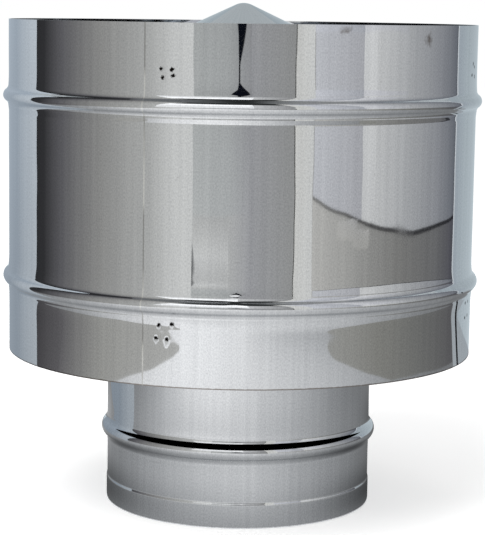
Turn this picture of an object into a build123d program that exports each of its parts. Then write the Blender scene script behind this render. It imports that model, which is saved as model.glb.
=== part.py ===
from build123d import *
from math import acos, asin, atan, cos, degrees, radians, sin, tan
import os

# Chimney cowl in stainless sheet, millimetres, +Z up.
# The origin is the centre of the neck's bottom edge, which slips down over the flue pipe.
# Every wall is a sheet of one thickness: one face of it is drawn in section, offset by the thickness
# and turned round the axis.

os.makedirs("parts", exist_ok=True)

# Sheet and strip
sheet = 0.5
strip = 1.0

# Neck pipe
flue_bore = 150.0
neck_bead_height = 42.0
neck_bead_width = 14.0
neck_bead_rise = 3.2
socket_depth = 12.5
socket_step = 0.4
socket_bend_radius = 3.0

# Wind drum
drum_diameter = 263.5
drum_length = 185.5
drum_height = 88.0
drum_bead_inset = 42.0
drum_bead_width = 11.5
drum_bead_rise = 2.9

# Diffuser
diffuser_mouth = 190.0
flare_length = 45.0
flare_bend_radius = 6.0
collar_length = 12.0
collar_above_brackets = 4.0

# Rain cap
cap_diameter = 215.0
cap_slope = 25.0
cap_tip_radius = 11.0
cap_above_rim = 10.5

# Bent strips that carry the cap and the drum
bracket_count = 4
first_bracket_angle = -107.0
bracket_width = 20.0
bracket_bend_radius = 4.0
cap_foot_length = 26.0
cap_lap = 28.0
cap_arm_reach = 2.0
neck_foot_length = 21.0
neck_arm_rise = 15.0

# Radii and heights worked out from the driving sizes
neck_radius = flue_bore / 2 + sheet
drum_radius = drum_diameter / 2
drum_inner_radius = drum_radius - sheet
rim_height = drum_height + drum_length
neck_arm_height = drum_height + neck_arm_rise
neck_foot_top = neck_arm_height + neck_foot_length
neck_length = neck_foot_top + collar_above_brackets + collar_length
bracket_angles = [first_bracket_angle + turn * 360 / bracket_count for turn in range(bracket_count)]


def rolled_bead(wall_radius, centre_height, width, rise):
    """Section of a rolled bead on a wall that runs up: root bend, crest and root bend, each tangent to the
    next. All three have one radius, which follows from the bead's width and rise. Gives back the last bend."""
    turn = 2 * atan(2 * rise / width)
    radius = width / 4 / sin(turn)
    start = (wall_radius, centre_height - width / 2)
    root = JernArc(start, (0, 1), radius, -degrees(turn))
    crest = JernArc(root @ 1, root % 1, radius, 2 * degrees(turn))
    return JernArc(crest @ 1, crest % 1, radius, -degrees(turn))


# Neck pipe: a rolled pipe with one bead, opened a little at its lower end to start over the flue pipe
step_turn = degrees(acos(1 - socket_step / (2 * socket_bend_radius)))
with BuildPart() as neck_pipe:
    with BuildSketch(Plane.XZ):
        with BuildLine():
            mouth = Line((neck_radius + socket_step, 0), (neck_radius + socket_step, socket_depth))
            step_in = JernArc(mouth @ 1, mouth % 1, socket_bend_radius, step_turn)
            step_up = JernArc(step_in @ 1, step_in % 1, socket_bend_radius, -step_turn)
            Line(step_up @ 1, (neck_radius, neck_bead_height - neck_bead_width / 2))
            bead = rolled_bead(neck_radius, neck_bead_height, neck_bead_width, neck_bead_rise)
            Line(bead @ 1, (neck_radius, neck_length))
            offset(amount=sheet, side=Side.LEFT)
        make_face()
    revolve(axis=Axis.Z)

# Diffuser: a collar round the neck's top that flares out towards the cap
with BuildPart() as diffuser:
    flare_start = neck_length + 2 * sheet
    with BuildSketch(Plane.XZ):
        with BuildLine():
            FilletPolyline(
                (neck_radius, neck_length - collar_length),
                (neck_radius, flare_start),
                (diffuser_mouth / 2 - sheet, flare_start + flare_length),
                radius=[flare_bend_radius],
            )
            offset(amount=sheet, side=Side.RIGHT)
        make_face()
    revolve(axis=Axis.Z)

# Wind drum: a rolled drum, open at both ends, with a bead near each end to stiffen it
lower_bead_height = drum_height + drum_bead_inset
upper_bead_height = rim_height - drum_bead_inset
with BuildPart() as wind_drum:
    with BuildSketch(Plane.XZ):
        with BuildLine():
            Line((drum_radius, drum_height), (drum_radius, lower_bead_height - drum_bead_width / 2))
            lower_bead = rolled_bead(drum_radius, lower_bead_height, drum_bead_width, drum_bead_rise)
            Line(lower_bead @ 1, (drum_radius, upper_bead_height - drum_bead_width / 2))
            upper_bead = rolled_bead(drum_radius, upper_bead_height, drum_bead_width, drum_bead_rise)
            Line(upper_bead @ 1, (drum_radius, rim_height))
            offset(amount=sheet, side=Side.LEFT)
        make_face()
    revolve(axis=Axis.Z)

# Rain cap: a cone with a blunted tip, which stands a little above the drum's rim
cap_radius = cap_diameter / 2
slope = radians(cap_slope)
tip_centre_height = rim_height + cap_above_rim - cap_tip_radius
cone_start_radius = cap_tip_radius * sin(slope)
cone_start_height = tip_centre_height + cap_tip_radius * cos(slope)
cap_edge_height = cone_start_height - (cap_radius - cone_start_radius) * tan(slope)
with BuildPart() as rain_cap:
    with BuildSketch(Plane.XZ):
        with BuildLine():
            Line((cap_radius, cap_edge_height), (cone_start_radius, cone_start_height))
            CenterArc((0, tip_centre_height), cap_tip_radius, 90 - cap_slope, cap_slope)
            offset(amount=sheet, side=Side.LEFT)
        make_face()
    revolve(axis=Axis.Z)


def lap_height(radius):
    """Height of the lower face of a strip that lies along the cone's underside, at this radius."""
    return cone_start_height - (radius - cone_start_radius) * tan(slope) - (sheet + strip) / cos(slope)


def strip_sector(inner_radius):
    """Angle about the axis that takes in the whole width of a strip, down to this radius."""
    return 3 * degrees(asin(bracket_width / 2 / inner_radius))


# The brackets' feet and laps are pressed to the curves that they are welded to, so each strip is turned
# round the axis as a sector and trimmed to its width.

# Cap brackets: a foot up the drum's wall, an arm in under the cap's edge and a lap along its underside
lap_start_radius = cap_radius + cap_arm_reach
lap_end_radius = cap_radius - cap_lap
cap_arm_height = lap_height(lap_start_radius)
cap_sector = strip_sector(lap_end_radius)
for number, angle in enumerate(bracket_angles, start=1):
    with BuildPart() as cap_bracket:
        with BuildSketch(Plane.XZ.rotated((0, 0, angle - cap_sector / 2))):
            with BuildLine():
                FilletPolyline(
                    (drum_inner_radius, cap_arm_height + cap_foot_length),
                    (drum_inner_radius, cap_arm_height),
                    (lap_start_radius, cap_arm_height),
                    (lap_end_radius, lap_height(lap_end_radius)),
                    radius=[bracket_bend_radius, bracket_bend_radius],
                )
                offset(amount=strip, side=Side.RIGHT)
            make_face()
        revolve(axis=Axis.Z, revolution_arc=cap_sector)
        with Locations(Location((0, 0, 0), (0, 0, angle))):
            Box(drum_diameter, bracket_width, 2 * rim_height, mode=Mode.INTERSECT)
    cap_bracket.part.label = f"cap_bracket_{number}"
    export_step(cap_bracket.part, f"parts/cap_bracket_{number}.step")

# Neck brackets: the same strip bent to a channel, with one foot up the drum's wall and one up the neck
neck_sector = strip_sector(neck_radius)
for number, angle in enumerate(bracket_angles, start=1):
    with BuildPart() as neck_bracket:
        with BuildSketch(Plane.XZ.rotated((0, 0, angle - neck_sector / 2))):
            with BuildLine():
                FilletPolyline(
                    (drum_inner_radius, neck_foot_top),
                    (drum_inner_radius, neck_arm_height),
                    (neck_radius, neck_arm_height),
                    (neck_radius, neck_foot_top),
                    radius=[bracket_bend_radius, bracket_bend_radius],
                )
                offset(amount=strip, side=Side.RIGHT)
            make_face()
        revolve(axis=Axis.Z, revolution_arc=neck_sector)
        with Locations(Location((0, 0, 0), (0, 0, angle))):
            Box(drum_diameter, bracket_width, 2 * rim_height, mode=Mode.INTERSECT)
    neck_bracket.part.label = f"neck_bracket_{number}"
    export_step(neck_bracket.part, f"parts/neck_bracket_{number}.step")

neck_pipe.part.label = "neck_pipe"
export_step(neck_pipe.part, "parts/neck_pipe.step")
diffuser.part.label = "diffuser"
export_step(diffuser.part, "parts/diffuser.step")
wind_drum.part.label = "wind_drum"
export_step(wind_drum.part, "parts/wind_drum.step")
rain_cap.part.label = "rain_cap"
export_step(rain_cap.part, "parts/rain_cap.step")
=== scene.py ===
from functools import partial

import bpy
import numpy as np
from mathutils import Matrix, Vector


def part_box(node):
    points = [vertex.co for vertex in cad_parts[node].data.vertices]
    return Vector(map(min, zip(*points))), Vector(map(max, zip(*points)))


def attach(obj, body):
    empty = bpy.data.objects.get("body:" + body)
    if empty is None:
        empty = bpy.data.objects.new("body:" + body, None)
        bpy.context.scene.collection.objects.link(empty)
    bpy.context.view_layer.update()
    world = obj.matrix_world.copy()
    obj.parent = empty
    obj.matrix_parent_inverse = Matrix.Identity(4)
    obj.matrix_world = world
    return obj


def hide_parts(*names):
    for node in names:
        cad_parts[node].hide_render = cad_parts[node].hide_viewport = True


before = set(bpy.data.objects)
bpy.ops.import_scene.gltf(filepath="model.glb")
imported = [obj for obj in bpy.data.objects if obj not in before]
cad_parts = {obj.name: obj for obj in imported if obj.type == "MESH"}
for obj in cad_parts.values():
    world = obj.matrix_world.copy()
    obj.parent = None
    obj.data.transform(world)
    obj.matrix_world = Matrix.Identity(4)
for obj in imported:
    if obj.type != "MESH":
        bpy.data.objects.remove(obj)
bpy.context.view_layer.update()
scene = bpy.context.scene

# Neck pipe: 0.5 mm bright-annealed stainless sheet rolled to a pipe and seam-welded. A bead rolled into
# it stiffens it, and its lower end is opened by a small step, so that it starts over the flue pipe.
mm = 0.001
sheet = 0.5 * mm
edge_radius = 0.1 * mm
edge_row = 0.3 * mm
neck_bead_rise = 3.2 * mm
neck_bead_width = 14.0 * mm
neck_bead_height = 42.0 * mm
socket_depth = 12.5 * mm
socket_step = 0.4 * mm
socket_bend_radius = 3.0 * mm
neck_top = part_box("neck_pipe")[1].z
neck_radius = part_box("neck_pipe")[1].x - neck_bead_rise
neck_seam = 158.0
bracket_azimuths = (-17.0, 73.0, 163.0, 253.0)
weld_dot_radius = 1.3 * mm
weld_dot_depth = 0.1 * mm
no_weld_near = 9.0
seam_margin = 3.7 * mm
seam_ridge_width = 0.7 * mm
fine_spacing = 0.6 * mm
neck_flare_length, neck_flare_slope = 8.0 * mm, 0.06
neck_wave, neck_ripple_slope, neck_seam_rise = 0.05 * mm, 0.0014, 0.008 * mm


def walk(start, heading, moves, coarser=1.0):
    """Section of one face of a sheet, as rows of radius, height, heading and length along it. Each move
    is its length, its turn in degrees and its number of steps. A straight run has turn 0. A bend lies on
    a circle of radius length / turn: start + radius * (sine of the heading, minus its cosine), less the
    same at its start."""
    rows = [np.array([[start[0], start[1], np.radians(heading), 0.0]])]
    for length, turn, steps in moves:
        steps = int(np.ceil(steps / coarser))
        radius_0, height_0, heading_0, along_0 = rows[-1][-1]
        share = np.linspace(0, 1, steps + 1)[1:]
        turned = heading_0 + np.radians(turn) * share
        if turn:
            bend_radius = length / np.radians(turn)
            radius = radius_0 + bend_radius * (np.sin(turned) - np.sin(heading_0))
            height = height_0 - bend_radius * (np.cos(turned) - np.cos(heading_0))
        else:
            radius = radius_0 + length * share * np.cos(heading_0)
            height = height_0 + length * share * np.sin(heading_0)
        rows.append(np.column_stack([radius, height, turned, along_0 + length * share]))
    return np.vstack(rows)


def bend(radius, turn, steps):
    """A move round a bend of this radius: its length is the radius times the turn."""
    return radius * np.radians(abs(turn)), turn, steps


def rolled_bead(width, rise):
    """Moves along a rolled bead: root bend, crest and root bend of one radius. The turn is twice the
    angle whose tangent is 2 * rise / width, and the radius is width / (4 * sine of the turn)."""
    turn = 2 * np.degrees(np.arctan(2 * rise / width))
    radius = width / 4 / np.sin(np.radians(turn))
    return [bend(radius, -turn, 10), bend(radius, 2 * turn, 20), bend(radius, -turn, 10)]


def face_rows(path, side):
    """Rows of one face of a sheet, from the section of its outer face: radius, height, the path's
    heading, length along the path, the surface's own normal and the side, 1 outside and -1 inside. The
    inner face lies one sheet's thickness in."""
    heading = path[:, 2]
    outward = np.column_stack([np.sin(heading), -np.cos(heading)])
    rows = np.column_stack([path, side * outward, np.full(len(path), side)])
    rows[:, :2] -= sheet * (1 - side) / 2 * outward
    return rows


def cut_edge(end, forward):
    """Rows round a cut edge from the outer face to the inner one. A corner point is its centre + the
    edge radius * its normal, which turns from the outer face's to the way forward and on."""
    radius, height, angle, along = end
    out = np.array([np.sin(angle), -np.cos(angle)])
    on = forward * np.array([np.cos(angle), np.sin(angle)])
    sweep = np.radians([20, 45, 70, 90, 90, 110, 135, 160])[:, None]
    across = np.array([1, 1, 1, 1, -1, -1, -1, -1])[:, None]
    facing = np.cos(sweep) * out + np.sin(sweep) * on
    place = np.array([radius, height]) + (sheet / 2 * (across - 1) - edge_radius * across) * out
    section = np.full((8, 2), [angle, along])
    return np.column_stack([place + edge_radius * facing, section, facing, np.zeros(8)])


def columns(radius, seam, fine_at, spacing):
    """Azimuths once round a wall of this radius, in radians from the front towards +X, from a little
    before its seam: evenly spaced, and finer across the seam and this near to each azimuth given."""
    first = np.radians(seam) - seam_margin / radius
    count = round(2 * np.pi * radius / spacing)
    turns = first + 2 * np.pi * np.arange(count) / count
    for azimuth, half in [(seam, 0.8 * seam_margin), *fine_at]:
        centre = first + (np.radians(azimuth) - first) % (2 * np.pi)
        turns = turns[np.abs(turns - centre) * radius > half + fine_spacing / 2]
        fine = np.arange(-half, half + fine_spacing / 2, fine_spacing)
        turns = np.append(turns, centre + fine / radius)
    return np.sort(turns)


def grid_faces(rows, count, around=True):
    """Four-sided faces of a grid of rows and columns. Where it goes around, it closes both ways."""
    row, column = np.meshgrid(np.arange(rows), np.arange(count), indexing="ij")
    right = (column + 1) % count
    above = (row + 1) % rows
    low, high = row * count, above * count
    faces = np.stack([low + column, low + right, high + right, high + column], axis=-1)
    return faces if around else faces[:-1, :-1]


def new_object(name, points, faces, normals=None, uv=None, values=None):
    """A smooth-shaded mesh object from arrays: points, faces, and where given normals of the points, a UV
    map of the face corners and named values or colours of the points."""
    mesh = bpy.data.meshes.new(name)
    mesh.from_pydata(points.reshape(-1, 3), [], faces)
    mesh.polygons.foreach_set("use_smooth", np.ones(len(mesh.polygons), bool))
    if uv is not None:
        mesh.uv_layers.new(name="along_sheet").data.foreach_set("uv", uv.reshape(-1).astype(np.float32))
    for title, array in (values or {}).items():
        is_colour = array.ndim > 2 and array.shape[-1] == 4
        kind, key = ("FLOAT_COLOR", "color") if is_colour else ("FLOAT", "value")
        layer = mesh.attributes.new(title, kind, "POINT")
        layer.data.foreach_set(key, array.reshape(-1).astype(np.float32))
    if normals is not None:
        mesh.normals_split_custom_set_from_vertices(normals.reshape(-1, 3).tolist())
    piece = bpy.data.objects.new(name, mesh)
    scene.collection.objects.link(piece)
    return piece


def spun_sheet(name, start, heading, moves, turns, push, values, pole=False):
    """A sheet spun round the axis: a point of the section at radius r and azimuth a goes to x = r sin a
    and y = -r cos a. The whole sheet is pushed along its outer normal by push(a, height), a smooth
    field, and the surface's normals lean back by that field's slopes. A cone has no upper edge, and
    closes at its pole."""
    outer, inner = walk(start, heading, moves), walk(start, heading, moves, coarser=4.0)
    top = [] if pole else [cut_edge(outer[-1], 1)]
    bottom = cut_edge(outer[0], -1)[::-1]
    loop = np.vstack([face_rows(outer, 1), *top, face_rows(inner[::-1], -1), bottom])
    radius, height, heading, along, normal_r, normal_z, side = (column[:, None] for column in loop.T)
    a = turns[None, :]
    base = outer[:, 3]
    pushed = push(a, outer[:, 1][:, None]) + 0 * a
    nearest = np.abs(base[None, :] - along).argmin(axis=1)
    slope_along = np.gradient(pushed, base, axis=0)[nearest] * side
    slope_round = np.gradient(pushed, turns, axis=1)[nearest] / np.maximum(radius, mm) * side
    amount = push(a, height) + 0 * a
    place_r = radius + amount * np.sin(heading)
    place_z = height - amount * np.cos(heading)
    sin_a, cos_a = np.sin(a), np.cos(a)
    points = np.stack([place_r * sin_a, -place_r * cos_a, place_z], axis=-1)
    lean_r = normal_r - slope_along * np.cos(heading)
    lean_z = normal_z - slope_along * np.sin(heading)
    lean_x = lean_r * sin_a - slope_round * cos_a
    lean_y = -lean_r * cos_a - slope_round * sin_a
    normals = np.stack([lean_x, lean_y, lean_z], axis=-1)
    normals /= np.linalg.norm(normals, axis=-1, keepdims=True)
    u_left = (turns - turns[0]) * outer[0, 0] + 0 * place_r
    u_right = np.append(u_left[:, 1:], np.full((len(loop), 1), 2 * np.pi * outer[0, 0]), axis=1)
    v_low = along + 0 * place_r
    v_high = np.roll(v_low, -1, axis=0)
    uv = np.stack([u_left, v_low, u_right, v_low, u_right, v_high, u_left, v_high], axis=-1)
    faces = grid_faces(*place_r.shape)
    grids = {title: value(a, height) + 0 * place_r for title, value in values.items()}
    if not pole:
        return new_object(name, points, faces.reshape(-1, 4).tolist(), normals, uv, grids)
    rim = len(outer) - 1
    keep = np.arange(len(loop)) != rim
    outside, inside = faces[rim, :, :2], faces[rim, :, 3:1:-1]
    tip, under = points[..., 0].size, points[..., 0].size + 1
    fans = [[*pair, tip] for pair in outside.tolist()]
    fans += [[under, *pair[::-1]] for pair in inside.tolist()]
    points = np.vstack([points.reshape(-1, 3), [[0, 0, outer[-1, 1]], [0, 0, outer[-1, 1] - sheet]]])
    normals = np.vstack([normals.reshape(-1, 3), [[0, 0, 1], [0, 0, -1]]])
    fan_uv = np.full((len(fans) * 3, 2), [0.5 * outer[0, 0], outer[-1, 3]])
    uv = np.vstack([uv[keep].reshape(-1, 2), fan_uv])
    grids = {title: np.append(grid, [no_weld_near] * 2) for title, grid in grids.items()}
    return new_object(name, points, faces[keep].reshape(-1, 4).tolist() + fans, normals, uv, grids)


def flare(distance, length, slope):
    """How far rolling a bead has drawn the wall beside it outwards. The slope falls from its full value
    at the bead to nothing at this length away, as the two and a half power of the share left, and this is
    its integral."""
    left = 1 - np.clip(distance, 0, length) / length
    return slope * length / 3.5 * left ** 3.5


def beside_bead(height, centre, width, length, slope):
    """The flare above and below a bead, and its greatest value across the bead itself."""
    return flare(np.abs(height - centre) - width / 2, length, slope)


def waves(a, height, strength, seed):
    """The slight out-of-roundness of rolled sheet: a sum of cosines round the axis, whose phases drift
    slowly with the height. The random phases are seeded."""
    draw = np.random.default_rng(seed)
    total = 0
    for times_round, size in ((3, 1.0), (5, 0.6), (8, 0.3), (13, 0.13), (21, 0.055), (34, 0.02)):
        phase, drift = draw.uniform(0, 2 * np.pi), draw.uniform(-9, 9)
        total = total + size * np.cos(times_round * a + phase + drift * height)
    return strength * total


def ripples(a, height, radius, slope, seed):
    """Fine ripples from rolling: plane waves over the unrolled sheet, 16 to 60 mm long, in random
    directions and phases. Each is as high as its slope times its wavelength over two pi, and goes round a
    whole number of times. The draws are seeded."""
    draw = np.random.default_rng(seed)
    total = 0
    for _ in range(16):
        wavelength, direction = draw.uniform(16, 60) * mm, draw.uniform(0, np.pi)
        times_round = round(2 * np.pi * radius / wavelength * np.cos(direction))
        up = 2 * np.pi / wavelength * np.sin(direction)
        total = total + wavelength * np.cos(times_round * a + up * height + draw.uniform(0, 2 * np.pi))
    return slope / (2 * np.pi) * total


def round_way(a, azimuth):
    """Angle in radians from an azimuth in degrees, taken the short way round."""
    return (a - np.radians(azimuth) + np.pi) % (2 * np.pi) - np.pi


def ridge(a, radius, seam, height):
    """The low weld ridge along a seam: a bell curve of the distance from it."""
    return height * np.exp(-((round_way(a, seam) * radius / seam_ridge_width) ** 2))


def dots(a, height, radius, places):
    """Distance to the nearest weld dot, in dot radii, from places of azimuth in degrees and height."""
    nearest = np.full(np.broadcast(a, height).shape, no_weld_near)
    for azimuth, dot_height in places:
        away = np.hypot(round_way(a, azimuth) * radius, height - dot_height)
        nearest = np.minimum(nearest, away / weld_dot_radius)
    return nearest


def pits(distance, depth):
    """A weld's pit: depth * a bell curve of the distance, and a shallow ring of sheet drawn in."""
    return -depth * np.exp(-((distance / 0.8) ** 2)) - 0.2 * depth * np.exp(-((distance / 3.0) ** 2))


def scattered_welds(azimuth, heights, spread, seed):
    """Two by two weld dots of a bracket: at the spread each side of its azimuth in degrees, at these
    heights, each placed by hand and so up to half a millimetre off."""
    draw = np.random.default_rng(seed)
    return [(azimuth + side * spread + draw.uniform(-0.3, 0.3), height + draw.uniform(-0.5, 0.5) * mm)
            for side in (-1, 1) for height in heights]


step_turn = np.degrees(np.arccos(1 - socket_step / (2 * socket_bend_radius)))
step_bends = [bend(socket_bend_radius, step_turn, 4), bend(socket_bend_radius, -step_turn, 4)]
bead_low = neck_bead_height - neck_bead_width / 2
bead_high = neck_bead_height + neck_bead_width / 2
neck_start = (neck_radius + socket_step, edge_radius)
neck_moves = [
    (edge_row, 0, 1), (socket_depth - edge_radius - edge_row, 0, 5), *step_bends,
    (bead_low - socket_depth - 2 * socket_bend_radius * np.sin(np.radians(step_turn)), 0, 12),
    *rolled_bead(neck_bead_width, neck_bead_rise),
    (12 * mm, 0, 12), (40 * mm, 0, 12),
    (neck_top - edge_radius - edge_row - bead_high - 52 * mm, 0, 20), (edge_row, 0, 1),
]
neck_weld_heights = (112.5 * mm, 118.5 * mm)
neck_welds = [dot for number, azimuth in enumerate(bracket_azimuths)
              for dot in scattered_welds(azimuth, neck_weld_heights, 2.4, 40 + number)]
neck_welds += [(azimuth, neck_top - 6 * mm) for azimuth in np.arange(10.0, 370.0, 45.0)]
bracket_detail = [(azimuth, 6 * mm) for azimuth in bracket_azimuths]


def neck_push(a, height):
    """Waves and ripples, the flare beside the bead, the weld pits and the seam's ridge."""
    return (waves(a, height, neck_wave, 3) + ripples(a, height, neck_radius, neck_ripple_slope, 4)
            + beside_bead(height, neck_bead_height, neck_bead_width, neck_flare_length, neck_flare_slope)
            + pits(dots(a, height, neck_radius, neck_welds), weld_dot_depth)
            + ridge(a, neck_radius, neck_seam, neck_seam_rise))


neck_pipe = spun_sheet("neck_pipe_sheet", neck_start, 90, neck_moves,
                       columns(neck_radius, neck_seam, bracket_detail, 2.6 * mm), neck_push,
                       {"weld": lambda a, height: dots(a, height, neck_radius, neck_welds)})


def linear(colour):
    """Linear colour from an sRGB hex value: c / 12.92 below 0.04045, and otherwise the power 2.4 of
    (c + 0.055) / 1.055."""
    c = np.array([int(colour[place:place + 2], 16) for place in (1, 3, 5)]) / 255
    c = np.where(c <= 0.04045, c / 12.92, ((c + 0.055) / 1.055) ** 2.4)
    return (*c.tolist(), 1.0)


def add_node(tree, kind, inputs=(), **settings):
    """Adds a shader node of this kind with its settings. Each input is (name or number, value). A socket
    is linked, and so is a node, by its first output. An sRGB hex colour is made linear."""
    node = tree.nodes.new("ShaderNode" + kind)
    for name, value in settings.items():
        setattr(node, name, value)
    for name, value in inputs:
        if isinstance(value, str):
            value = linear(value)
        if isinstance(value, bpy.types.Node):
            value = value.outputs[0]
        if isinstance(value, bpy.types.NodeSocket):
            tree.links.new(value, node.inputs[name])
        else:
            node.inputs[name].default_value = value
    return node


def new_material(name):
    """A material with an empty node tree, and the function that adds nodes to that tree."""
    material = bpy.data.materials.new(name)
    material.use_nodes = True
    material.node_tree.nodes.clear()
    return material, partial(add_node, material.node_tree)


# Bright-annealed stainless sheet: a near mirror that shows the room sharply, finely streaked along the
# rolling direction, with dull finger smudges, black scale in the weld pits and a scorched line along each
# seam weld.
bright_sheet, add = new_material("bright_annealed_stainless")
sheet_map = add("UVMap", uv_map="along_sheet")
place = add("TexCoord").outputs["Object"]

# Rolling streaks 3 mm wide and 160 mm long, and a grain of 0.7 mm, coarser than on real sheet
streak_map = add("Mapping", [("Vector", sheet_map), ("Scale", (330.0, 6.0, 1.0))])
streaks = add("TexNoise", [("Vector", streak_map), ("Scale", 1.0), ("Detail", 3.0), ("Roughness", 0.6)])
grain_map = add("Mapping", [("Vector", sheet_map), ("Scale", (1500.0, 900.0, 1.0))])
grain = add("TexNoise", [("Vector", grain_map), ("Scale", 1.0), ("Detail", 2.0), ("Roughness", 0.7)])
mottle = add("Math", [(0, grain), (1, 2.4), (2, streaks)], operation="MULTIPLY_ADD")
mottle_share = add("MapRange", [("Value", mottle), ("From Min", 1.1), ("From Max", 2.3)])
sheet_colour = add("Mix", [(0, mottle_share), (6, "#bcbec1"), (7, "#dddfe1")], data_type="RGBA")
smudges = add("TexNoise", [
    ("Vector", place), ("Scale", 26.0), ("Detail", 4.0), ("Roughness", 0.65), ("Distortion", 0.6)])
roughness = add("MapRange", [
    ("Value", smudges), ("From Min", 0.56), ("From Max", 0.76), ("To Min", 0.03), ("To Max", 0.06)])

# Left on the drum: a scrap of protective film, paler and duller than the sheet, and brown stains. The
# same brown also paints shade in a thin line along the drum's lower edge.
film = add("Attribute", attribute_name="film")
torn = add("TexNoise", [("Vector", place), ("Scale", 420.0), ("Detail", 3.0)])
film_edge = add("Math", [(0, torn), (1, 0.5), (2, film.outputs["Fac"])], operation="MULTIPLY_ADD")
film_share = add("MapRange", [
    ("Value", film_edge), ("From Min", 0.62), ("From Max", 0.95), ("To Max", 0.3)])
filmed_colour = add("Mix", [
    (0, film_share), (6, sheet_colour.outputs[2]), (7, "#f4f4f2")], data_type="RGBA")
filmed_roughness = add("Math", [(0, film_share), (1, 0.25), (2, roughness)], operation="MULTIPLY_ADD")
# This attribute carries real stains and a line of painted shade along the drum's lower edge
stain_and_edge_shade = add("Attribute", attribute_name="stain_and_edge_shade")
stain_and_shade_field = add("Math", [(0, torn), (1, 0.9), (2, stain_and_edge_shade.outputs["Fac"])], operation="MULTIPLY_ADD")
stain_and_shade_share = add("MapRange", [
    ("Value", stain_and_shade_field), ("From Min", 0.6), ("From Max", 1.1), ("To Max", 0.75)])
stained_and_shaded_colour = add("Mix", [
    (0, stain_and_shade_share), (6, filmed_colour.outputs[2]), (7, "#5d4f43")], data_type="RGBA")

# The seam's weld line: 0.8 mm wide, scorched and bright by turns over about 70 mm
seam_way = add("SeparateXYZ", [("Vector", sheet_map)])
from_seam = add("Math", [(0, seam_way.outputs["X"]), (1, seam_margin)], operation="SUBTRACT")
off_seam = add("Math", [(0, from_seam)], operation="ABSOLUTE")
seam_share = add("MapRange", [
    ("Value", off_seam), ("From Min", 0.25 * mm), ("From Max", 0.5 * mm), ("To Min", 0.55),
    ("To Max", 0.0)])
seam_map = add("Mapping", [
    ("Vector", sheet_map), ("Scale", (0.0, 28.0, 1.0)), ("Location", (0.0, 3.4, 0.0))])
seam_turns = add("TexNoise", [("Vector", seam_map), ("Scale", 1.0), ("Detail", 2.0)])
scorch = add("MapRange", [("Value", seam_turns), ("From Min", 0.44), ("From Max", 0.56)])
seam_colour = add("Mix", [(0, scorch), (6, "#7c7a76"), (7, "#f4f4f0")], data_type="RGBA")
seamed_colour = add("Mix", [
    (0, seam_share), (6, stained_and_shaded_colour.outputs[2]), (7, seam_colour.outputs[2])], data_type="RGBA")
seamed_roughness = add("Math", [
    (0, seam_share), (1, 0.2), (2, filmed_roughness)], operation="MULTIPLY_ADD")

# Black scale in the weld pits, with a ragged edge
weld = add("Attribute", attribute_name="weld")
ragged = add("TexNoise", [("Vector", place), ("Scale", 1100.0), ("Detail", 2.0)])
from_weld = add("Math", [(0, ragged), (1, 1.5), (2, weld.outputs["Fac"])], operation="MULTIPLY_ADD")
scale_share = add("MapRange", [
    ("Value", from_weld), ("From Min", 1.35), ("From Max", 1.75), ("To Min", 1.0), ("To Max", 0.0)])
scaled_colour = add("Mix", [
    (0, scale_share), (6, seamed_colour.outputs[2]), (7, "#14100e")], data_type="RGBA")
scaled_roughness = add("Mix", [(0, scale_share), (2, seamed_roughness), (3, 0.6)])
steel = add("BsdfPrincipled", [
    ("Base Color", scaled_colour.outputs[2]), ("Metallic", 1.0), ("Roughness", scaled_roughness)])
add("OutputMaterial", [("Surface", steel)])


def finish_piece(piece, material, node):
    """Gives a piece its material, lets it ride on the one body, and hides the imported part of its node.
    """
    piece.data.materials.append(material)
    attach(piece, "root")
    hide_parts(node)


finish_piece(neck_pipe, bright_sheet, "neck_pipe")

# Diffuser: a short cone of the same sheet with a collar, spot-welded round the neck's top. It throws the
# flue gas outwards under the rain cap.
flare_length = 45.0 * mm
flare_bend_radius = 6.0 * mm
diffuser_seam = 120.0
diffuser_wave = 0.06 * mm
diffuser_low, diffuser_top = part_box("diffuser")[0].z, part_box("diffuser")[1].z
collar_outer = neck_radius + sheet
flare_start = neck_top + 2 * sheet
flare_rise, flare_reach = diffuser_top - flare_start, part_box("diffuser")[1].x - sheet - neck_radius
flare_turn = np.degrees(np.arctan2(flare_reach, flare_rise))
bend_run = flare_bend_radius * np.tan(np.radians(flare_turn / 2))
diffuser_moves = [
    (edge_row, 0, 1), (flare_start - diffuser_low - edge_radius - edge_row - bend_run, 0, 8),
    bend(flare_bend_radius - sheet, -flare_turn, 8),
    (np.hypot(flare_rise, flare_reach) - bend_run - edge_radius - edge_row, 0, 24), (edge_row, 0, 1),
]
collar_welds = neck_welds[-8:]


def diffuser_push(a, height):
    """Waves that fade out towards the collar, and the collar's weld pits."""
    free = np.clip((height - flare_start) / flare_length, 0, 1)
    return (waves(a, height, diffuser_wave, 5) * free
            + pits(dots(a, height, collar_outer, collar_welds), weld_dot_depth))


collar_detail = [(azimuth, 3 * mm) for azimuth, _ in collar_welds]
diffuser = spun_sheet("diffuser_sheet", (collar_outer, diffuser_low + edge_radius), 90, diffuser_moves,
                      columns(collar_outer, diffuser_seam, collar_detail, 3.6 * mm), diffuser_push,
                      {"weld": lambda a, height: dots(a, height, collar_outer, collar_welds)})
finish_piece(diffuser, bright_sheet, "diffuser")

# Neck brackets: four stainless strips, 20 by 1 mm, each bent to a channel with one foot up the neck and
# one up the drum's wall. The feet are pressed to the walls' curves and spot-welded.
strip = 1.0 * mm
strip_width = 20.0 * mm
strip_bend_radius = 4.0 * mm
corner = 0.15 * mm
drum_bead_rise = 2.9 * mm
drum_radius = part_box("wind_drum")[1].x - drum_bead_rise
drum_inner_radius = drum_radius - sheet
drum_low, rim_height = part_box("wind_drum")[0].z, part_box("wind_drum")[1].z
neck_arm_height, neck_foot_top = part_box("neck_bracket_1")[0].z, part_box("neck_bracket_1")[1].z


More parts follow.
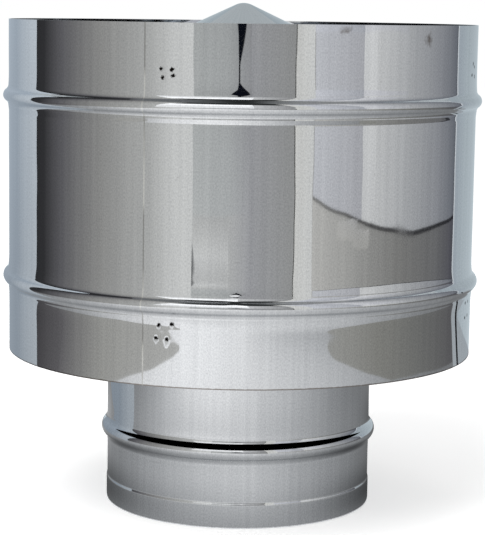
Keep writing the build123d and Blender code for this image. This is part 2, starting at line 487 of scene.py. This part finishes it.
def bent_strip(name, azimuth, path, weld_distance):
    """A flat strip carried along a path in a radial plane. Its section is a rectangle with rounded
    corners, of width w and thickness t. A point goes t in from the path's radius, and w square to the
    radial plane, so its distance along the plane is the root of radius squared less w squared. The end
    rings draw in by the corner radius times one minus the cosine of the angle turned."""
    turn = np.radians([15.0, 45.0, 75.0])
    w_far, t_far = strip_width / 2 - corner, strip / 2 - corner
    side = np.linspace(-w_far, w_far, 15)
    near = np.column_stack([side, np.full(15, -strip / 2)])
    first = np.column_stack([w_far + corner * np.sin(turn), -t_far - corner * np.cos(turn)])
    second = np.column_stack([w_far + corner * np.cos(turn), t_far + corner * np.sin(turn)])
    half = np.vstack([near, first, second])
    section = np.vstack([half, -half])
    ease = np.radians([90.0, 60.0, 30.0])
    drawn_in, reached, flat = corner * (1 - np.cos(ease)), corner * np.sin(ease), np.zeros(len(path))
    inset = np.concatenate([drawn_in, flat, drawn_in[::-1]])
    reach = np.concatenate([-reached, flat, reached[::-1]])[:, None]
    spine = np.vstack([np.repeat(path[:1], 3, axis=0), path, np.repeat(path[-1:], 3, axis=0)])
    radius, height, heading, along = (column[:, None] for column in spine.T)
    w = section[:, 0] * (1 - inset[:, None] / (strip_width / 2))
    t = section[:, 1] * (1 - inset[:, None] / (strip / 2)) + strip / 2
    r = radius + t * np.sin(heading) + reach * np.cos(heading)
    z = height - t * np.cos(heading) + reach * np.sin(heading)
    forward = np.sqrt(r ** 2 - w ** 2)
    a = np.radians(azimuth)
    x, y = forward * np.sin(a) + w * np.cos(a), -forward * np.cos(a) + w * np.sin(a)
    points = np.stack([x, y, z], axis=-1)
    rows, count = r.shape
    faces = grid_faces(rows, count)[:-1, :, ::-1].reshape(-1, 4).tolist()
    faces += [list(range(count)), list(range((rows - 1) * count, rows * count))[::-1]]
    values = {"across": w, "along": along + 0 * w, "weld": weld_distance(a + np.arcsin(w / r), z, r)}
    piece = new_object(name, points, faces, values=values)
    piece.data.set_sharp_from_angle(angle=np.radians(50))
    return piece


# Plain rolled stainless strip: a satin grey that blurs what it mirrors, with fine rolling lines along it
# and a dull film of handling.
satin_strip, add = new_material("satin_rolled_strip")
place = add("TexCoord").outputs["Object"]
patches = add("TexNoise", [("Vector", place), ("Scale", 90.0), ("Detail", 4.0)])
across = add("Attribute", attribute_name="across")
along = add("Attribute", attribute_name="along")
strip_way = add("CombineXYZ", [("X", across.outputs["Fac"]), ("Y", along.outputs["Fac"])])
line_map = add("Mapping", [("Vector", strip_way), ("Scale", (2500.0, 40.0, 1.0))])
lines = add("TexNoise", [("Vector", line_map), ("Scale", 1.0), ("Detail", 2.0)])
line_colour = add("Mix", [(0, lines), (6, "#a6a7a8"), (7, "#cdcfd1")], data_type="RGBA")
strip_colour = add("Mix", [(0, patches), (6, "#aaabac"), (7, line_colour.outputs[2])], data_type="RGBA")
strip_roughness = add("MapRange", [("Value", patches), ("To Min", 0.24), ("To Max", 0.42)])
weld = add("Attribute", attribute_name="weld")
scale_share = add("MapRange", [
    ("Value", weld.outputs["Fac"]), ("From Min", 0.8), ("From Max", 1.3), ("To Min", 1.0),
    ("To Max", 0.0)])
scaled_colour = add("Mix", [
    (0, scale_share), (6, strip_colour.outputs[2]), (7, "#1d1815")], data_type="RGBA")
satin = add("BsdfPrincipled", [
    ("Base Color", scaled_colour.outputs[2]), ("Metallic", 1.0), ("Roughness", strip_roughness)])
add("OutputMaterial", [("Surface", satin)])

half_bend = strip_bend_radius * np.tan(np.radians(45))
foot_run = neck_foot_top - neck_arm_height - half_bend - corner
neck_bracket_path = walk((drum_inner_radius, neck_foot_top - corner), -90, [
    (foot_run, 0, 14), bend(strip_bend_radius, -90, 8),
    (drum_inner_radius - neck_radius - 2 * half_bend, 0, 10),
    bend(strip_bend_radius, -90, 8), (foot_run, 0, 14),
])
low_welds = [[(-18.2, 120.2 * mm), (-15.1, 121.0 * mm), (-18.8, 113.4 * mm), (-16.3, 113.0 * mm)]]
low_welds += [scattered_welds(azimuth, (113.2 * mm, 120.6 * mm), 1.4, 60 + number)
              for number, azimuth in enumerate(bracket_azimuths[1:])]
for number, azimuth in enumerate(bracket_azimuths, start=1):
    own_welds = low_welds[number - 1] + neck_welds[4 * number - 4:4 * number]
    neck_bracket = bent_strip(f"neck_bracket_strip_{number}", azimuth, neck_bracket_path,
                              lambda a, z, r: dots(a, z, r, own_welds))
    finish_piece(neck_bracket, satin_strip, f"neck_bracket_{number}")

# Wind drum: the same bright sheet rolled to a drum, open at both ends, seam-welded and stiffened by a
# rolled bead near each end. The brackets inside it show only by their spot welds.
drum_bead_width = 11.5 * mm
drum_bead_inset = 42.0 * mm
drum_seam = -22.0
drum_flare_length, drum_flare_slope = 10.0 * mm, 0.15
rim_flare_length, rim_flare_slope = 12.0 * mm, 0.085
shoulder_length, shoulder_slope = 3.0 * mm, 0.125
drum_wave, drum_ripple_slope, drum_seam_rise = 0.07 * mm, 0.0009, 0.006 * mm
lower_bead_height = drum_low + drum_bead_inset
upper_bead_height = rim_height - drum_bead_inset
half_bead = drum_bead_width / 2
high_welds = [
    [(-18.2, 250.3 * mm), (-15.6, 250.1 * mm), (-17.8, 246.0 * mm), (-15.3, 247.0 * mm)],
    [(72.5, 252.7 * mm), (74.2, 250.9 * mm), (71.4, 246.6 * mm), (74.6, 245.8 * mm)],
]
high_welds += [scattered_welds(azimuth, (246.2 * mm, 251.0 * mm), 1.3, 80 + number)
               for number, azimuth in enumerate(bracket_azimuths[2:])]
drum_welds = [dot for cluster in low_welds + high_welds for dot in cluster]
low_window = (111.2 * mm, 122.8 * mm)
high_window = (244.0 * mm, 254.8 * mm)
drum_start = (drum_radius, drum_low + edge_radius)
drum_moves = [
    (edge_row, 0, 1), (0.5 * mm, 0, 1),
    (low_window[0] - drum_low - edge_radius - edge_row - 0.5 * mm, 0, 6),
    (low_window[1] - low_window[0], 0, 19), (lower_bead_height - half_bead - low_window[1], 0, 2),
    *rolled_bead(drum_bead_width, drum_bead_rise),
    (10 * mm, 0, 10), (upper_bead_height - lower_bead_height - 2 * half_bead - 15 * mm, 0, 14),
    (0.6 * mm, 0, 1), (1.8 * mm, 0, 9), (2.6 * mm, 0, 5),
    *rolled_bead(drum_bead_width, drum_bead_rise),
    (high_window[0] - upper_bead_height - half_bead, 0, 7), (high_window[1] - high_window[0], 0, 18),
    (rim_height - edge_radius - edge_row - high_window[1], 0, 12), (edge_row, 0, 1),
]
film_azimuth, film_height, film_fall = 26.1, 167.5 * mm, 0.49
film_half_width, film_half_height = 9.7 * mm, 6.0 * mm
dent_azimuth, dent_height, dent_reach, dent_stretch, dent_rise = -1.0, 134.7 * mm, 2.0 * mm, 2.2, 0.4 * mm
stains = [(47.0, 266.0 * mm, 4.5 * mm, 5.5 * mm), (23.0, 270.5 * mm, 5.0 * mm, 3.0 * mm)]


def round_wall(a, azimuth):
    """Distance round the drum's wall from an azimuth in degrees."""
    return round_way(a, azimuth) * drum_radius


def shoulder(distance, length, slope):
    """The mark of the roller's shoulder: a slope that holds for this length and then ends in a logistic
    curve of softness s. Its integral is slope * s * log(1 + exp((length - distance) / s))."""
    softness = 0.15 * mm
    return slope * softness * np.logaddexp(0, np.minimum(length - distance, length) / softness)


def drum_push(a, height):
    """Waves and ripples, the flare beside the beads, the roller's mark under the upper one, the weld
    pits, the seam's ridge and a small bump on the lower bead, a bell curve of the distance that is wider
    than high."""
    bump = np.hypot(round_wall(a, dent_azimuth) / dent_stretch, height - dent_height) / dent_reach
    above = beside_bead(height, upper_bead_height, drum_bead_width, rim_flare_length, rim_flare_slope)
    below = shoulder(upper_bead_height - half_bead - height, shoulder_length, shoulder_slope)
    return (waves(a, height, drum_wave, 11) + ripples(a, height, drum_radius, drum_ripple_slope, 12)
            + beside_bead(height, lower_bead_height, drum_bead_width, drum_flare_length, drum_flare_slope)
            + np.where(height > upper_bead_height, above, below)
            + pits(dots(a, height, drum_radius, drum_welds), weld_dot_depth)
            + ridge(a, drum_radius, drum_seam, drum_seam_rise) + dent_rise * np.exp(-(bump ** 2)))


def drum_film(a, height):
    """Film left on the wall: one inside a slanting patch and nothing outside, over an edge 3 mm wide."""
    way = round_wall(a, film_azimuth)
    off_line = np.abs(height - film_height + film_fall * way)
    return (np.clip((film_half_width - np.abs(way)) / (3 * mm) + 0.5, 0, 1)
            * np.clip((film_half_height - off_line) / (3 * mm) + 0.5, 0, 1))


def drum_stain_and_edge_shade(a, height):
    """Painted shade: a line along the lower edge. Stain: at each spot 0.75 * (1 - the distance in radii).
    """
    # Painted shade: the dark line along the drum's lower edge, where the cut edge's shadow falls
    total = np.clip((drum_low + 0.9 * mm - height) / (0.5 * mm), -1, 0.8)
    for azimuth, stain_height, half_width, half_height in stains:
        away = np.hypot(round_wall(a, azimuth) / half_width, (height - stain_height) / half_height)
        total = np.maximum(total, 0.75 - 0.75 * away)
    return np.maximum(total, 0)


drum_detail = bracket_detail + [(dent_azimuth, 7.2 * mm)]
wind_drum = spun_sheet("wind_drum_sheet", drum_start, 90, drum_moves,
                       columns(drum_radius, drum_seam, drum_detail, 3.2 * mm), drum_push,
                       {"weld": lambda a, height: dots(a, height, drum_radius, drum_welds),
                        "film": drum_film, "stain_and_edge_shade": drum_stain_and_edge_shade})
finish_piece(wind_drum, bright_sheet, "wind_drum")

# Cap brackets: four more strips, each welded by its foot to the drum's wall. The arm reaches in under the
# cap's edge and laps along the cone's underside.
cap_slope = 25.0
cap_tip_radius = 11.0 * mm
cap_arm_reach = 2.0 * mm
cap_lap = 28.0 * mm
cap_foot_length = 26.0 * mm
cap_radius, cap_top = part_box("rain_cap")[1].x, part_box("rain_cap")[1].z
slope = np.radians(cap_slope)
cone_start_radius = cap_tip_radius * np.sin(slope)
cone_start_height = cap_top - cap_tip_radius * (1 - np.cos(slope))


def cone_height(radius):
    """The cone's height at a radius, from its slope."""
    return cone_start_height - (radius - cone_start_radius) * np.tan(slope)


def lap_height(radius):
    """Height of the lower face of a strip along the cone's underside: the cone's height there less the
    upright thickness of sheet and strip."""
    return cone_height(radius) - (sheet + strip) / np.cos(slope)


lap_start, lap_end = cap_radius + cap_arm_reach, cap_radius - cap_lap
lap_bend = strip_bend_radius * np.tan(slope / 2)
cap_bracket_path = walk((drum_inner_radius, lap_height(lap_start) + cap_foot_length - corner), -90, [
    (cap_foot_length - half_bend - corner, 0, 16), bend(strip_bend_radius, -90, 8),
    (drum_inner_radius - lap_start - half_bend - lap_bend, 0, 5), bend(strip_bend_radius, -cap_slope, 4),
    ((lap_start - lap_end) / np.cos(slope) - lap_bend - corner, 0, 18),
])
cap_welds = [[(azimuth + side * 2.6, radius) for side in (-1, 1) for radius in (86.5 * mm, 98.5 * mm)]
             for azimuth in bracket_azimuths]


def cap_dots(a, radius, places):
    """Distance to the nearest weld dot on the cone, in dot radii, from places of azimuth and radius."""
    nearest = np.full(np.broadcast(a, radius).shape, no_weld_near)
    for azimuth, dot_radius in places:
        away = np.hypot(round_way(a, azimuth) * dot_radius, (radius - dot_radius) / np.cos(slope))
        nearest = np.minimum(nearest, away / weld_dot_radius)
    return nearest


for number, azimuth in enumerate(bracket_azimuths, start=1):
    foot_welds, lap_welds = high_welds[number - 1], cap_welds[number - 1]
    cap_bracket = bent_strip(f"cap_bracket_strip_{number}", azimuth, cap_bracket_path,
                             lambda a, z, r: np.where(r > lap_start, dots(a, z, r, foot_welds),
                                                      cap_dots(a, r, lap_welds)))
    finish_piece(cap_bracket, satin_strip, f"cap_bracket_{number}")

# Rain cap: a disc of the same sheet cut to a sector, pulled to a cone and seam-welded, with its tip
# blunted in a die. It is spot-welded to the four brackets' laps.
cap_seam = 205.0
cap_wave, cap_seam_rise = 0.12 * mm, 0.008 * mm
pole_gap = 0.4 * mm
tip_turn = np.degrees(np.arcsin(pole_gap / cap_tip_radius))
cone_run = (cap_radius - cone_start_radius) / np.cos(slope)
cap_start = (cap_radius - edge_radius * np.cos(slope),
             cone_height(cap_radius) + edge_radius * np.sin(slope))
cap_moves = [
    (edge_row, 0, 1), (5.7 * mm, 0, 5), (19 * mm, 0, 32), (cone_run - 25 * mm - edge_radius, 0, 24),
    bend(cap_tip_radius, cap_slope - tip_turn, 10),
]
cap_dot_list = [dot for cluster in cap_welds for dot in cluster]


def cone_radius(height):
    """The cone's radius at a height, from its slope."""
    return (cone_start_height - height) / np.tan(slope) + cone_start_radius


def cap_push(a, height):
    """The cone's waves and seam ridge, which fade out at the tip, and its weld pits."""
    radius = cone_radius(height)
    fade = np.clip(radius / cap_radius, 0, 1) ** 2
    seam_line = ridge(a, np.maximum(radius, mm), cap_seam, cap_seam_rise)
    return ((waves(a, height, cap_wave, 17) + seam_line) * fade
            + pits(cap_dots(a, radius, cap_dot_list), weld_dot_depth))


lap_detail = [(azimuth, 7 * mm) for azimuth in bracket_azimuths]
rain_cap = spun_sheet("rain_cap_sheet", cap_start, 180 - cap_slope, cap_moves,
                      columns(cap_radius, cap_seam, lap_detail, 3.6 * mm), cap_push,
                      {"weld": lambda a, height: cap_dots(a, cone_radius(height), cap_dot_list)},
                      pole=True)
finish_piece(rain_cap, bright_sheet, "rain_cap")

# Studio: boards that only the object's mirror finish sees. They stand in a ring round it, with a window
# high up at the front left, a ceiling, two backdrops, and a shaded floor with a darker table edge on both
# sides.
ring_radius = 0.95
ceiling = 1.95
dark = "#10131c"
board_paint, add = new_material("lit_board")
tone = add("Attribute", attribute_name="tone")
board_light = add("Emission", [("Color", tone.outputs["Color"])])
add("OutputMaterial", [("Surface", board_light)])


def lit_board(name, points, colour):
    """A board of the stage with its own light, which only mirror reflections see."""
    faces = grid_faces(*colour.shape[:2], around=False).reshape(-1, 4).tolist()
    board = new_object(name, points, faces, values={"tone": colour})
    board.data.materials.append(board_paint)
    board.visible_camera = False
    board.visible_diffuse = False
    board.visible_shadow = False


def faded(left_colour, right_colour, share, rise=0, top_light=1.0):
    """A colour that goes evenly from left to right, times a light that goes evenly up to the top's."""
    share = share[..., None]
    colour = np.array(linear(left_colour)) * (1 - share) + np.array(linear(right_colour)) * share
    colour[..., :3] *= (1 + (top_light - 1) * rise + 0 * share[..., 0])[..., None]
    return colour


def upright(name, left, right, low, high, left_colour, right_colour, top_light=1.0, depth=0.0,
            lean=(0, 0)):
    """A curved upright board between two azimuths in degrees and two heights, in the ring or this far
    before it. Its two side edges lean by these azimuths on the way up. A height may be a function of the
    azimuth."""
    share, rise = np.meshgrid(np.linspace(0, 1, 41), np.linspace(0, 1, 5))
    azimuth = left + lean[0] * rise + (right - left + (lean[1] - lean[0]) * rise) * share
    bottom = low(azimuth) if callable(low) else low
    top = high(azimuth) if callable(high) else high
    a, r = np.radians(azimuth), ring_radius - depth
    points = np.stack([r * np.sin(a), -r * np.cos(a), bottom + (top - bottom) * rise], axis=-1)
    lit_board(name, points, faded(left_colour, right_colour, share, rise, top_light))


def straight(name, start, end, low, high, start_colour, end_colour, top_light=1.0):
    """A flat upright board between two floor points."""
    share, rise = np.meshgrid(np.linspace(0, 1, 9), np.linspace(0, 1, 5))
    x = start[0] + (end[0] - start[0]) * share
    y = start[1] + (end[1] - start[1]) * share
    points = np.stack([x, y, low + (high - low) * rise], axis=-1)
    lit_board(name, points, faded(start_colour, end_colour, share, rise, top_light))


def flat_board(name, left, right, inner, outer, left_colour, right_colour, height=1.0 * mm):
    """A flat board between two azimuths, from an inner to an outer radius. Both are straight between
    their own azimuths and radii."""
    share, out = np.meshgrid(np.linspace(0, 1, 61), np.linspace(0, 1, 9))
    azimuth = left + (right - left) * share
    a = np.radians(azimuth)
    r = np.interp(azimuth, *inner) * (1 - out) + np.interp(azimuth, *outer) * out
    points = np.stack([r * np.sin(a), -r * np.cos(a), height + 0 * r], axis=-1)
    lit_board(name, points, faded(left_colour, right_colour, share))


def table_edge(azimuth):
    """Height of the table's edge on the ring: a parabola each side of its lowest point."""
    away = azimuth - 88
    return 0.0645 + np.where(away < 0, 1.22e-5, 1.35e-5) * away ** 2


def rim_top(rise):
    """Height of the top of the table's dark rim over the azimuth: this far above the table's edge."""
    return lambda azimuth: table_edge(azimuth) + rise


# The ring's boards: each is its name, azimuths from left to right, heights, and left and right colours,
# and then, where needed, how bright its top is, how far before the ring it stands and how its edges lean.
boards = [
    ("dark_corner", -125, -104, 0, ceiling, "#2e2e30", "#3c3c3e"),
    ("corner_edge", -104, -90, 0, ceiling, "#3c3c3e", "#706f72"),
    ("left_wall_far", -90, -66, 0, ceiling, "#706f72", "#a8a7a4"),
    ("left_wall_near", -66, -41, 0, ceiling, "#a8a7a4", "#cdcdca"),
    ("left_wall_end", -41, -30, 0, ceiling, "#cdcdca", "#ebebe8"),
    ("left_frame", -30, -20.9, 0, 0.33, "#ebebe8", "#f2f2ef"),
    ("front_left_foot", -20.9, 4, 0, 0.0215, "#c8c8c6", "#b8b8b8"),
    ("front_left_sill", -20.9, -5, 0.0215, 0.045, "#dcdcda", "#d2d2d0", 1.2),
    ("front_sill_end", -5, 4, 0.0215, 0.045, "#d2d2d0", "#bcbcbe"),
    ("front_left_light", -20.9, -5, 0.045, 0.09, "#f1f1ee", "#e6e6e4", 0.76),
    ("front_light_end", -5, 4, 0.045, 0.09, "#d2d2d0", "#bcbcbe"),
    ("front_left", -20.9, -5, 0.09, 0.33, "#d6d8d6", "#ced0cf", 0.78),
    ("front_middle", -5, 4, 0.09, 0.33, "#ced0cf", "#bcbcbe", 0.7),
    ("front_right", 4, 23.5, 0, 0.33, "#bcbcbe", "#b0b0ae", 0.9),
    ("front_right_high", 5, 23.5, 0.33, 1.2, "#e8e8e8", "#a8a8a8"),
    ("cream_post", 23.5, 31.7, 0, ceiling, "#f0efea", "#f2f2ef"),
    ("panel_low", 31.7, 55, 0, 0.26, "#dfe0e4", "#c4c4c8", 1.04),
    ("panel_high", 31.7, 55, 0.26, ceiling, "#ecedf3", "#c4c6cc"),
    ("right_wall_light", 55, 62, 0, 0.26, "#e2e2e1", "#e2e2e1", 1.18),
    ("right_wall", 62, 80, 0, 0.26, "#e2e2e1", "#c6c7c8", 1.05),
    ("right_wall_light_high", 55, 62, 0.26, ceiling, "#eeeef1", "#eeeef1"),
    ("right_wall_high", 62, 80, 0.26, ceiling, "#e8e8ec", "#c9cacd"),
    ("right_wall_far", 80, 104, 0, ceiling, "#c6c7c8", "#9fa1a6"),
    ("right_wall_end", 104, 118.6, 0, ceiling, "#9fa1a6", "#787c84"),
    ("right_corner_line", 118.6, 119.2, 0, ceiling, "#4a4c52", "#4a4c52"),
    ("right_post", 119.2, 120.4, 0, ceiling, "#e8edf2", "#dfe5ea"),
    ("right_corner", 120.4, 125, 0, ceiling, "#b8c1c8", "#b4bec6"),
    ("table_side_near", 31.7, 53.5, 0, table_edge, "#d8d6d1", "#b4b3af", 1.0, 0.004),
    ("table_side", 53.5, 77, 0, table_edge, "#b4b3af", "#92918e", 1.0, 0.004),
    ("table_side_far", 77, 104, 0, table_edge, "#92918e", "#7a7a7b", 1.0, 0.004),
    ("table_side_end", 104, 118.6, 0, table_edge, "#7a7a7b", "#5c5c64", 1.0, 0.004),
    ("table_rim_near", 31.7, 60, table_edge, rim_top(0.004), "#8a8986", "#3c3b3c", 1.0, 0.006),
    ("table_rim", 60, 118.6, table_edge, rim_top(0.0045), "#3c3b3c", "#303034", 1.0, 0.006),
    ("frame_shadow_low", -20.9, -20.5, 0.020, 0.034, "#4c4d50", "#dcdcda", 1.0, 0.004, (0, 1.4)),
    ("frame_shadow_high", -20.9, -19.1, 0.034, 0.062, "#4c4d50", "#dcdcda", 1.0, 0.004, (0, -1.6)),
    ("door_line", 23.1, 23.5, 0, 0.33, "#4a4946", "#4a4946", 1.0, 0.004),
    ("post_line", 31.6, 31.9, 0, 0.26, "#b9b8b6", "#b9b8b6", 1.0, 0.004),
    ("window", -38, 5, 0.33, 1.15, "#ffffff", "#ffffff", 2.0, 0.004),
    ("wall_over_window", -38, 23.5, 1.15, ceiling, "#5a5c5c", "#343636", 1.0, 0.004),
    # Something dark that stands in the window
    ("wedge_tail", -1.5, -0.9, 0.205, 0.226, dark, dark, 1.0, 0.008),
    ("wedge_tip", -1.5, -0.9, 0.226, 0.240, dark, dark, 1.0, 0.008, (-0.2, 0.9)),
    ("wedge", -1.7, 0.0, 0.240, 0.263, dark, dark, 1.0, 0.008, (-0.2, 1.4)),
    ("wedge_shoulder", -1.9, 1.4, 0.263, 0.290, dark, dark, 1.0, 0.008, (-1.6, 1.4)),
    ("wedge_top", -3.5, 2.8, 0.290, 0.345, dark, dark, 1.0, 0.008, (-2.5, 1.2)),
]
for board in boards:
    upright(*board)

# Backdrops: one close on the left, and two behind
straight("backdrop_edge", (-0.235, -0.0075), (-0.235, 0.1), 0, 0.36, "#bcc3c9", "#98a2ac", 1.6)
straight("backdrop_left", (-0.235, 0.1), (-0.235, 0.5), 0, 0.36, "#98a2ac", "#949ea8", 1.6)
straight("backdrop_rear", (-0.235, 0.5), (0.55, 0.466), 0, 0.62, "#cddae1", "#c1ccd2", 0.8)
straight("backdrop_end", (0.55, 0.466), (0.74, 0.45), 0, 0.62, "#c1ccd2", "#b8c2ca", 0.9)
straight("backdrop_high", (-1.1, 0.9), (1.1, 0.9), 0, ceiling, "#c6cdd0", "#c2c9cc")

# Ceiling, in sectors
all_round = (-180, 180)
ceiling_outline = (all_round, (0.0, 0.0)), (all_round, (2.0, 2.0))
for name, left, right, left_colour, right_colour in (
        ("ceiling_rear_left", -180, -60, "#808284", "#808284"),
        ("ceiling_left", -60, -20, "#6a6c6c", "#3c3e3e"),
        ("ceiling_front", -20, 20, "#343636", "#343636"),
        ("ceiling_right", 20, 60, "#343636", "#9a9c9c"),
        ("ceiling_rear_right", 60, 180, "#a8a9aa", "#a8a9aa"),
):
    flat_board(name, left, right, *ceiling_outline, left_colour, right_colour, ceiling)

# The shaded floor as the object mirrors it: dim all round and dimmer close to the neck, with bells of
# light and shade. Each bell is its centre, its width in x and in y, and its strength: the window's light,
# a line of light along the sill, the light close to the neck and on the left and right, and the light and
# shade behind it.
floor_start = 0.0763
turn, out = np.meshgrid(np.radians(np.linspace(-180, 180, 145)),
                        np.linspace(floor_start, ring_radius, 73))
floor_x, floor_y = out * np.sin(turn), -out * np.cos(turn)
near_shade = (0.4 + np.sin(turn) ** 2) * np.exp(-((out - 0.076) ** 2) / (2 * 0.048 ** 2))
floor_light = 0.24 - 0.22 * near_shade
for centre_x, centre_y, width_x, width_y, strength in (
        (-0.25, -0.8, 0.36, 0.36, 0.94), (0, -0.97, 0.3, 0.06, 0.5), (0, -0.17, 0.09, 0.09, 0.2),
        (-0.25, -0.35, 0.2, 0.2, 0.32), (0.33, -0.45, 0.28, 0.28, 0.35),
        (-0.13, 0.22, 0.08, 0.08, 0.16), (0.11, 0.2, 0.09, 0.09, -0.14),
):
    off_x, off_y = (floor_x - centre_x) / width_x, (floor_y - centre_y) / width_y
    floor_light = floor_light + strength * np.exp(-(off_x ** 2 + off_y ** 2) / 2)

# Where it is dim it is a little bluer
dim = np.clip(1 - floor_light, 0, 1)
floor_tone = np.stack([floor_light * (1 - 0.03 * dim), floor_light, floor_light * (1 + 0.03 * dim),
                       1 + 0 * dim], axis=-1)
lit_board("mirrored_floor", np.stack([floor_x, floor_y, 0.5 * mm + 0 * out], axis=-1), floor_tone)

# The dark table tops that cross the floor on both sides
left_inner = (-119, -104, -80, -53.6, -37.2, -28, -25.8), (0.40, 0.50, 0.53, 0.567, 0.622, 0.672, 0.70)
left_outer = (-48, -40.7, -33.4, -28, -25.8), (ring_radius, 0.843, 0.782, 0.76, 0.735)
right_inner = (39, 40.5, 43, 49, 58, 71, 116), (0.745, 0.705, 0.675, 0.638, 0.602, 0.561, 0.55)
right_outer = (39, 40.5, 43, 50, 56), (0.77, 0.80, 0.82, 0.85, ring_radius)
rear_inner, rear_outer = ((117, 150), (0.52, 0.52)), ((117, 150), (ring_radius, ring_radius))
table_tops = [
    ("left_table_near", -62, -25.4, left_inner, left_outer, "#b4b3ae", "#d2d1cd"),
    ("left_table", -88, -62, left_inner, left_outer, "#747274", "#b4b3ae"),
    ("left_table_far", -119, -88, left_inner, left_outer, "#353437", "#706e70"),
    ("right_table_near", 39, 64, right_inner, right_outer, "#b4b3ae", "#9a9993"),
    ("right_table", 64, 88, right_inner, right_outer, "#9a9993", "#848481"),
    ("right_table_far", 88, 118.6, right_inner, right_outer, "#848481", "#686769"),
    ("right_floor", 119, 150, rear_inner, rear_outer, "#b9bfc3", "#a3abb2"),
    ("right_floor_line", 123.4, 125.6, rear_inner, rear_outer, "#101012", "#101012", 1.5 * mm),
]
for table_top in table_tops:
    flat_board(*table_top)

# The shade under the drum, which only the neck's bead mirrors
shade_outline = (all_round, (neck_radius + 2 * mm,) * 2), (all_round, (drum_inner_radius - 2 * mm,) * 2)
flat_board("drum_shade", *all_round, *shade_outline, "#000000", "#000000", drum_low + 2 * mm)


def seen_or_mirrored(add):
    """A node that gives one for camera, glossy and transmission rays, and nothing for all others."""
    rays = add("LightPath").outputs
    seen = add("Math", [(0, rays["Is Camera Ray"]), (1, rays["Is Glossy Ray"])], operation="MAXIMUM")
    return add("Math", [(0, seen), (1, rays["Is Transmission Ray"])], operation="MAXIMUM")


def rotation(degrees, axis):
    """A rotation by this many degrees about an axis."""
    return Matrix.Rotation(np.radians(degrees), 4, axis)


# Floor: matt white paper. Camera, glossy and transmission rays also get a share of its own light, so that
# it shows as white, while the object's shadow stays.
paper, add = new_material("white_paper")
seen = seen_or_mirrored(add)
lift = add("Math", [(0, seen), (1, 0.52)], operation="MULTIPLY")
matt = add("BsdfDiffuse", [("Color", "#e9e9e9")])
own_light = add("Emission", [("Color", (1, 1, 1, 1)), ("Strength", lift)])
added = add("AddShader", [(0, matt), (1, own_light)])
add("OutputMaterial", [("Surface", added)])
floor_reach = 6.0
floor_sides = (-floor_reach, floor_reach)
floor_corners = np.array([(x, y, 0.0) for y in floor_sides for x in floor_sides])
floor = new_object("paper_floor", floor_corners, [[0, 1, 3, 2]])
floor.data.materials.append(paper)

# World and lamp: white where it is seen or mirrored and a plain fill for everything else, and a soft lamp
# at the front left that gives the object its shadow.
world = bpy.data.worlds.new("plain_world")
scene.world = world
world.use_nodes = True
world.node_tree.nodes.clear()
add = partial(add_node, world.node_tree)
seen = seen_or_mirrored(add)
strength = add("MapRange", [("Value", seen), ("To Min", 0.6), ("To Max", 1.0)])
sky = add("Background", [("Color", (1, 1, 1, 1)), ("Strength", strength)])
add("OutputWorld", [("Surface", sky)])

lamp_data = bpy.data.lights.new("soft_lamp", "AREA")
lamp_data.shape = "RECTANGLE"
lamp_data.size, lamp_data.size_y = 1.2, 1.2
lamp_data.energy = 22.0
lamp = bpy.data.objects.new("soft_lamp", lamp_data)
lamp.matrix_world = Matrix.Translation((-0.6, -1.0, 1.7)) @ rotation(32, "X") @ rotation(-18, "Y")
lamp.visible_glossy = False
scene.collection.objects.link(lamp)

# Camera: a little above the rim, looking slightly down, as the photograph was taken
camera_distance = 1.0856
camera_height = 0.2805
camera_pitch = 7.717
camera_roll = 0.832
focal_pixels = 1906.7
image_height = 535
axis_left_of_centre = 2.41
sensor = 36.0
camera_data = bpy.data.cameras.new("camera")
camera_data.sensor_width = sensor
camera_data.lens = focal_pixels * sensor / image_height
camera_data.shift_x = axis_left_of_centre / image_height
camera = bpy.data.objects.new("camera", camera_data)
camera.matrix_world = (Matrix.Translation((0, -camera_distance, camera_height))
                       @ rotation(90 - camera_pitch, "X") @ rotation(camera_roll, "Z"))
scene.collection.objects.link(camera)
scene.camera = camera
scene.view_settings.view_transform = "Standard"
